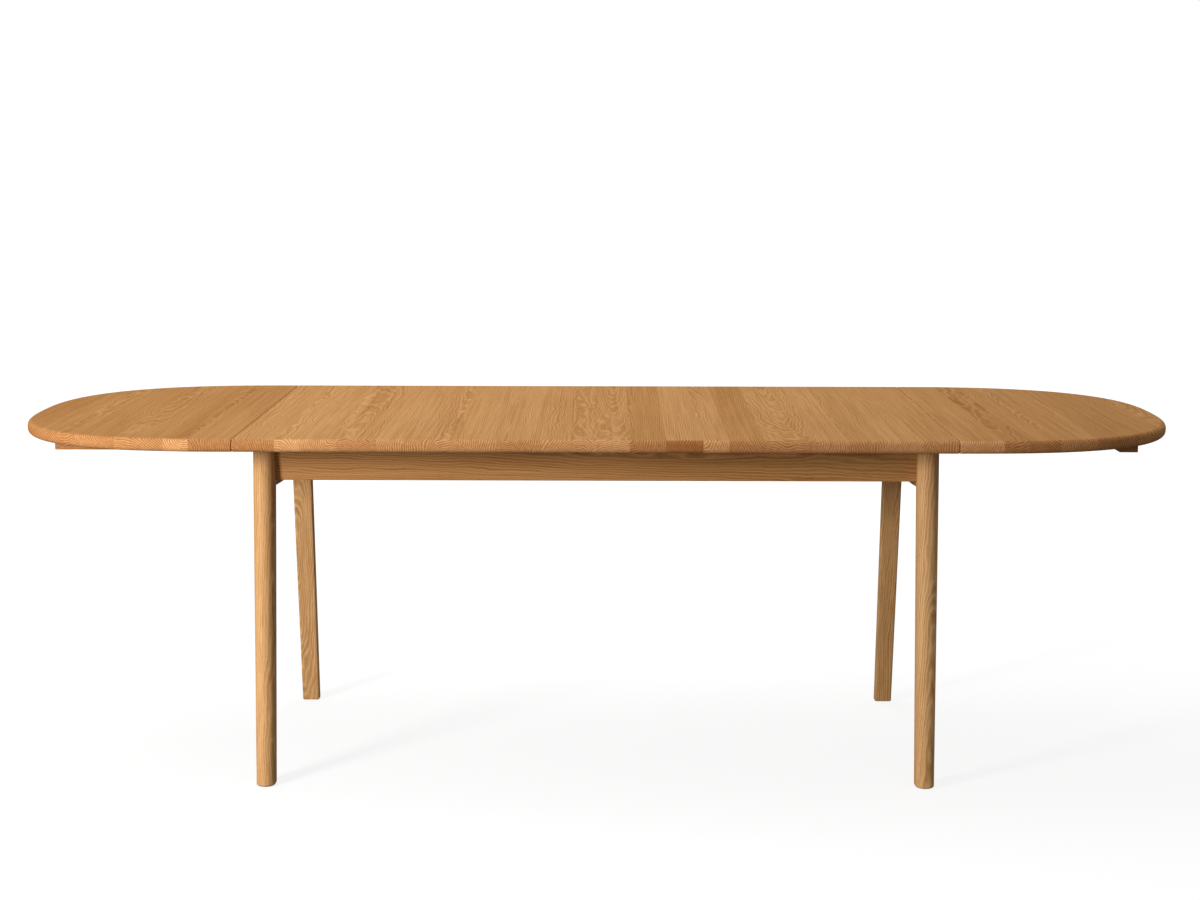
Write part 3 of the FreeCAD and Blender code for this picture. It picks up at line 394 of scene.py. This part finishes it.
def moulded_nylon(colour):
    """Injection moulded nylon with a spark-eroded finish: matt, with a 0.3 mm grain."""
    def make(tree, coords):
        grain = add(tree, "ShaderNodeTexNoise", {},
                    {"Vector": coords, "Scale": 1 / (0.3 * MM), "Detail": 2.0}, "Fac")
        spread = add(tree, "ShaderNodeMapRange", {}, {"Value": grain, "To Min": 0.45, "To Max": 0.65})
        bump = add(tree, "ShaderNodeBump", {}, {"Height": grain, "Strength": 0.3, "Distance": 0.05 * MM})
        return {"Roughness": spread, "Normal": bump}
    return surface("moulded nylon", make, {"Base Color": tuple(colour), "IOR": 1.53})


def finish_node(node, material):
    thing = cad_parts[node]
    for slot in thing.material_slots:
        slot.material = material
    if not thing.material_slots:
        thing.data.materials.append(material)


# --- wood screws ----------------------------------------------------------------------------------

def solids(node):
    """The separate solids of a node, each as a list of its corners."""
    work = bmesh.new()
    work.from_mesh(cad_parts[node].data)
    bmesh.ops.remove_doubles(work, verts=work.verts, dist=0.001 * MM)
    seen = set()
    found = []
    for first in work.verts:
        if first in seen:
            continue
        seen.add(first)
        waiting = [first]
        corners = []
        while waiting:
            vert = waiting.pop()
            corners.append(vert.co.copy())
            for edge in vert.link_edges:
                other = edge.other_vert(vert)
                if other not in seen:
                    seen.add(other)
                    waiting.append(other)
        found.append(corners)
    work.free()
    return found


def screw_spots(node):
    """The middle of each screw's head, the way that it points, its length and its head's radius."""
    spots = []
    for corners in solids(node):
        low = Vector([min(corner[i] for corner in corners) for i in range(3)])
        high = Vector([max(corner[i] for corner in corners) for i in range(3)])
        size = high - low
        axis = max(range(3), key=lambda i: size[i])
        at_low = [corner for corner in corners if corner[axis] - low[axis] < 0.01 * MM]
        tip_is_low = len(at_low) == 1
        head = (low + high) / 2
        head[axis] = high[axis] if tip_is_low else low[axis]
        way = Vector((0, 0, 0))
        way[axis] = -1 if tip_is_low else 1
        spots.append((head, way, size[axis], min(size) / 2))
    return spots


def screw_tree():
    """A countersunk wood screw with a six-sided recess and a cut thread, set at every given point."""
    if "wood screws" in bpy.data.node_groups:
        return bpy.data.node_groups["wood screws"]
    tree = bpy.data.node_groups.new("wood screws", "GeometryNodeTree")
    tree.interface.new_socket("Points", in_out="INPUT", socket_type="NodeSocketGeometry")
    for name in ("Length", "Head Radius", "Pitch", "Thread Depth"):
        tree.interface.new_socket(name, in_out="INPUT", socket_type="NodeSocketFloat")
    tree.interface.new_socket("Material", in_out="INPUT", socket_type="NodeSocketMaterial")
    tree.interface.new_socket("Geometry", in_out="OUTPUT", socket_type="NodeSocketGeometry")
    given = add(tree, "NodeGroupInput", {}, {}, None).outputs

    # Head: the cone narrows to the shank.
    shank = add(tree, "ShaderNodeMath", {"operation": "MULTIPLY"},
                {0: given["Head Radius"], 1: SHANK_SHARE})
    head = add(tree, "GeometryNodeMeshCone", {}, {"Vertices": 24, "Radius Top": shank,
                                                  "Radius Bottom": given["Head Radius"], "Depth": shank})
    across = add(tree, "ShaderNodeMath", {"operation": "MULTIPLY"},
                 {0: given["Head Radius"], 1: RECESS_SHARE})
    recess = add(tree, "GeometryNodeMeshCylinder", {}, {"Vertices": 6, "Radius": across, "Depth": across})
    head = add(tree, "GeometryNodeMeshBoolean", {"operation": "DIFFERENCE"},
               {"Mesh 1": head, "Mesh 2": recess})

    # Shank: a finely divided cylinder from below the recess to the tip, drawn in along a helix.
    start = add(tree, "ShaderNodeMath", {"operation": "MULTIPLY"},
                {0: given["Head Radius"], 1: SHANK_START_SHARE})
    run = add(tree, "ShaderNodeMath", {"operation": "SUBTRACT"}, {0: given["Length"], 1: start})
    rod = add(tree, "GeometryNodeMeshCylinder", {}, {"Vertices": 16, "Side Segments": 72, "Radius": shank,
                                                     "Depth": run})
    lift = add(tree, "ShaderNodeMath", {"operation": "MULTIPLY_ADD"}, {0: run, 1: 0.5, 2: start})
    lift = add(tree, "ShaderNodeCombineXYZ", {}, {"Z": lift})
    rod = add(tree, "GeometryNodeTransform", {}, {"Geometry": rod, "Translation": lift})
    spot = add(tree, "GeometryNodeInputPosition", {}, {})
    spot = add(tree, "ShaderNodeSeparateXYZ", {}, {0: spot}, None).outputs
    turn = add(tree, "ShaderNodeMath", {"operation": "ARCTAN2"}, {0: spot["Y"], 1: spot["X"]})
    turn = add(tree, "ShaderNodeMath", {"operation": "DIVIDE"}, {0: turn, 1: 2 * math.pi})
    rise = add(tree, "ShaderNodeMath", {"operation": "DIVIDE"}, {0: spot["Z"], 1: given["Pitch"]})
    phase = add(tree, "ShaderNodeMath", {"operation": "SUBTRACT"}, {0: rise, 1: turn})
    valley = add(tree, "ShaderNodeMath", {"operation": "PINGPONG"}, {0: phase, 1: 0.5})
    valley = add(tree, "ShaderNodeMath", {"operation": "MULTIPLY"}, {0: valley, 1: 2.0})
    valley = add(tree, "ShaderNodeMath", {"operation": "MULTIPLY"}, {0: valley, 1: given["Thread Depth"]})
    radius = add(tree, "ShaderNodeMath", {"operation": "SUBTRACT"}, {0: 1.0, 1: valley})
    point = add(tree, "ShaderNodeMath", {"operation": "MULTIPLY_ADD"},
                {0: given["Head Radius"], 1: -POINT_SHARE, 2: given["Length"]})
    taper = add(tree, "ShaderNodeMapRange", {},
                {"Value": spot["Z"], "From Min": point, "From Max": given["Length"],
                 "To Min": 1.0, "To Max": 0.04})
    radius = add(tree, "ShaderNodeMath", {"operation": "MULTIPLY"}, {0: radius, 1: taper})
    scale = add(tree, "ShaderNodeCombineXYZ", {}, {"X": radius, "Y": radius, "Z": 1.0})
    moved = add(tree, "ShaderNodeVectorMath", {"operation": "MULTIPLY"},
                {0: add(tree, "GeometryNodeInputPosition", {}, {}), 1: scale})
    rod = add(tree, "GeometryNodeSetPosition", {}, {"Geometry": rod, "Position": moved})

    screw = add(tree, "GeometryNodeJoinGeometry", {}, {"Geometry": head})
    tree.links.new(rod, screw.node.inputs["Geometry"])
    way = add(tree, "GeometryNodeInputNamedAttribute", {"data_type": "FLOAT_VECTOR"}, {"Name": "way"})
    heading = add(tree, "FunctionNodeAlignRotationToVector", {"axis": "Z"}, {"Vector": way})
    copies = add(tree, "GeometryNodeInstanceOnPoints", {}, {"Points": given["Points"], "Instance": screw,
                                                            "Rotation": heading})
    real = add(tree, "GeometryNodeRealizeInstances", {}, {"Geometry": copies})
    made = add(tree, "GeometryNodeSetMaterial", {}, {"Geometry": real, "Material": given["Material"]})
    add(tree, "NodeGroupOutput", {}, {"Geometry": made}, None)
    return tree


def grown(name, spots, tree, values):
    """A plain mesh object that a tree grows from points, each with the way that it faces."""
    seed = bpy.data.meshes.new(name)
    seed.from_pydata([spot for spot, way in spots], [], [])
    ways = seed.attributes.new("way", "FLOAT_VECTOR", "POINT")
    for item, (spot, way) in zip(ways.data, spots):
        item.vector = way
    thing = bpy.data.objects.new(name, seed)
    bpy.context.collection.objects.link(thing)
    modifier = thing.modifiers.new(name, "NODES")
    modifier.node_group = tree
    for socket in tree.interface.items_tree:
        if socket.name in values:
            modifier[socket.identifier] = values[socket.name]
    evaluated = thing.evaluated_get(bpy.context.evaluated_depsgraph_get())
    mesh = bpy.data.meshes.new_from_object(evaluated)
    thing.modifiers.clear()
    thing.data = mesh
    return thing


# --- pieces -------------------------------------------------------------------------------------

class TABLE_OT_tops(bpy.types.Operator):
    """Gives the main top and both leaves their glued-up oak staves"""
    bl_idname = "table.tops"
    bl_label = "Tops"

    def execute(self, context):
        for seed, (node, staves, tone) in enumerate((("main_top", MAIN_STAVES, -0.3),
                                                     ("left_leaf", LEFT_STAVES, -1.1),
                                                     ("right_leaf", RIGHT_STAVES, -0.8))):
            finish_node(node, oak("oiled oak, " + node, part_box(node), "Y", 10 + seed, tone, staves,
                                  gloss=0.02, contrast=1.15))
        return {"FINISHED"}


class TABLE_OT_frame(bpy.types.Operator):
    """Gives the legs, aprons, rails, bearer and blocks their oak"""
    bl_idname = "table.frame"
    bl_label = "Frame"

    def execute(self, context):
        # The front right leg's tone 2.6 is partly painted light: the wood's own tone plus lightening that
        # makes up for the key light falling off towards the right.
        boards = [("front_left_leg", "Z", 1.2), ("front_right_leg", "Z", 2.6), ("back_left_leg", "Z", 1.8),
                  # The aprons' tone -1.3 is partly the wood's own darker tone and partly painted shade from
                  # the top's overhang.
                  ("back_right_leg", "Z", 1.2), ("front_apron", "X", -1.3), ("back_apron", "X", -1.3),
                  ("left_end_rail", "Y", -0.6), ("right_end_rail", "Y", -0.6),
                  ("middle_bearer", "Y", -0.6)]
        boards += [(side + "_corner_block", "X", -1.2)
                   for side in ("front_left", "front_right", "back_left", "back_right")]
        for seed, (node, along, tone) in enumerate(boards):
            finish_node(node, oak("oiled oak, " + node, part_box(node), along, 40 + seed, tone,
                                  contrast=2.0 if "apron" in node else 1.8))
        return {"FINISHED"}


class TABLE_OT_supports(bpy.types.Operator):
    """Gives the runners and cross battens their oak"""
    bl_idname = "table.supports"
    bl_label = "Leaf supports"

    def execute(self, context):
        boards = [(side + "_cross_batten", "Y") for side in ("left", "right")]
        boards += [("%s_%s_runner" % (side, place), "X")
                   for side in ("left", "right") for place in ("front", "back")]
        # Tone -2.2 darkens the runners and cross battens: partly their own wood and partly painted shade,
        # as they sit under the leaves.
        for seed, (node, along) in enumerate(boards):
            finish_node(node, oak("oiled oak, " + node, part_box(node), along, 80 + seed, -2.2))
        return {"FINISHED"}


class TABLE_OT_screws(bpy.types.Operator):
    """Sets threaded wood screws where the frame's plain ones are"""
    bl_idname = "table.screws"
    bl_label = "Wood screws"

    def execute(self, context):
        fixings = context.scene.fixings
        material = plated_steel("zinc plated screw steel", fixings.steel, 0.36)
        for node, body in (("corner_block_screws", "frame"), ("top_plate_screws", "frame"),
                           ("bearer_screws", "frame"), ("left_leaf_screws", "left_leaf_unit"),
                           ("right_leaf_screws", "right_leaf_unit")):
            spots = screw_spots(node)
            length, head_radius = spots[0][2:]
            values = {"Length": length, "Head Radius": head_radius, "Pitch": fixings.pitch,
                      "Thread Depth": fixings.thread, "Material": material}
            piece = grown("threaded_" + node, [spot[:2] for spot in spots], screw_tree(), values)
            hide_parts(node)
            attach(piece, body)
        return {"FINISHED"}


class TABLE_OT_fixings(bpy.types.Operator):
    """Finishes the leg bolts, nuts, washers, top plates, dowels, pins and foot glides"""
    bl_idname = "table.fixings"
    bl_label = "Fixings"

    def execute(self, context):
        fixings = context.scene.fixings
        zinc = plated_steel("bright zinc plated steel", fixings.zinc, 0.3)
        pressed = plated_steel("zinc plated pressed steel", fixings.steel, 0.42)
        beech = turned_beech(fixings.beech)
        for node in ("leg_bolts", "leg_nuts", "leg_washers"):
            finish_node(node, zinc)
        finish_node("top_plates", pressed)
        for node in ("frame_dowels", "bearer_dowels", "left_leaf_pins", "right_leaf_pins",
                     "left_batten_dowels", "right_batten_dowels"):
            finish_node(node, beech)
        finish_node("foot_glides", moulded_nylon(fixings.nylon))
        return {"FINISHED"}


def studio_paper(glow):
    """Matt grey paper that glows to the eye, so that it looks white all the way back and still takes
    faint shadows."""
    paper = bpy.data.materials.new("matt white paper")
    paper.use_nodes = True
    tree = paper.node_tree
    seen = add(tree, "ShaderNodeLightPath", {}, {}, "Is Camera Ray")
    spot = add(tree, "ShaderNodeTexCoord", {}, {}, "Object")
    away = add(tree, "ShaderNodeVectorMath", {"operation": "LENGTH"}, {0: spot}, "Value")
    away = add(tree, "ShaderNodeMapRange", {"interpolation_type": "SMOOTHSTEP"},
               {"Value": away, "From Min": GLOW_START, "From Max": GLOW_END, "To Min": glow, "To Max": 1.0})
    seen = add(tree, "ShaderNodeMath", {"operation": "MULTIPLY"}, {0: seen, 1: away})
    shader = tree.nodes["Principled BSDF"]
    shader.inputs["Base Color"].default_value = linear("828282")
    shader.inputs["Roughness"].default_value = 0.9
    shader.inputs["Specular IOR Level"].default_value = 0.0
    shader.inputs["Emission Color"].default_value = (1, 1, 1, 1)
    tree.links.new(seen, shader.inputs["Emission Strength"])
    return paper


def white_surround(scene, ambient):
    """A white surround that lights the table less brightly than it looks."""
    world = bpy.data.worlds.new("white surround")
    world.use_nodes = True
    scene.world = world
    tree = world.node_tree
    seen = add(tree, "ShaderNodeLightPath", {}, {}, "Is Camera Ray")
    strength = add(tree, "ShaderNodeMapRange", {}, {"Value": seen, "To Min": ambient, "To Max": 1.0})
    background = tree.nodes["Background"]
    background.inputs["Color"].default_value = (1, 1, 1, 1)
    tree.links.new(strength, background.inputs["Strength"])


class TABLE_OT_stage(bpy.types.Operator):
    """Sets up the floor, the soft light and the camera"""
    bl_idname = "table.stage"
    bl_label = "Stage"

    def execute(self, context):
        stage = context.scene.stage
        bpy.ops.mesh.primitive_plane_add(size=FLOOR_SIZE)
        floor = context.object
        floor.name = "floor"
        floor.data.materials.append(studio_paper(stage.glow))
        white_surround(context.scene, stage.ambient)
        for name, spot, aim, size in LIGHTS:
            light = bpy.data.lights.new(name, "AREA")
            light.energy = getattr(stage, name)
            light.size = size
            lamp = bpy.data.objects.new(name, light)
            context.collection.objects.link(lamp)
            lamp.location = spot
            lamp.rotation_euler = (Vector(aim) - lamp.location).to_track_quat("-Z", "Y").to_euler()

        eye = bpy.data.cameras.new("camera")
        eye.lens = stage.lens
        eye.sensor_width = 36
        camera = bpy.data.objects.new("camera", eye)
        context.collection.objects.link(camera)
        turn = (Matrix.Rotation(CAMERA_PAN, 4, "Z")
                @ Matrix.Rotation(math.pi / 2 - CAMERA_DIP, 4, "X")
                @ Matrix.Rotation(CAMERA_ROLL, 4, "Z"))
        camera.matrix_world = Matrix.Translation((CAMERA_SIDE, -stage.distance, stage.eye)) @ turn
        context.scene.camera = camera
        context.scene.view_settings.view_transform = "Standard"
        return {"FINISHED"}


class TABLE_PT_panel(bpy.types.Panel):
    """Lists the table's pieces and settings"""
    bl_label = "Table"
    bl_space_type = "VIEW_3D"
    bl_region_type = "UI"
    bl_category = "Table"

    def draw(self, context):
        for piece in PIECES:
            self.layout.operator(piece.bl_idname)
        for group, settings in SETTINGS:
            for name in settings.__annotations__:
                self.layout.prop(getattr(context.scene, group), name)


SETTINGS = (("oak", OakSettings), ("fixings", FixingSettings), ("stage", StageSettings))
PIECES = (TABLE_OT_tops, TABLE_OT_frame, TABLE_OT_supports, TABLE_OT_screws, TABLE_OT_fixings,
          TABLE_OT_stage)


def register():
    for name, settings in SETTINGS:
        bpy.utils.register_class(settings)
        setattr(bpy.types.Scene, name, bpy.props.PointerProperty(type=settings))
    for piece in PIECES + (TABLE_PT_panel,):
        bpy.utils.register_class(piece)


def unregister():
    for piece in PIECES + (TABLE_PT_panel,):
        bpy.utils.unregister_class(piece)
    for name, settings in SETTINGS:
        delattr(bpy.types.Scene, name)
        bpy.utils.unregister_class(settings)


def main():
    register()
    bpy.ops.table.tops()
    bpy.ops.table.frame()
    bpy.ops.table.supports()
    bpy.ops.table.screws()
    bpy.ops.table.fixings()
    bpy.ops.table.stage()


if __name__ == "__main__":
    main()
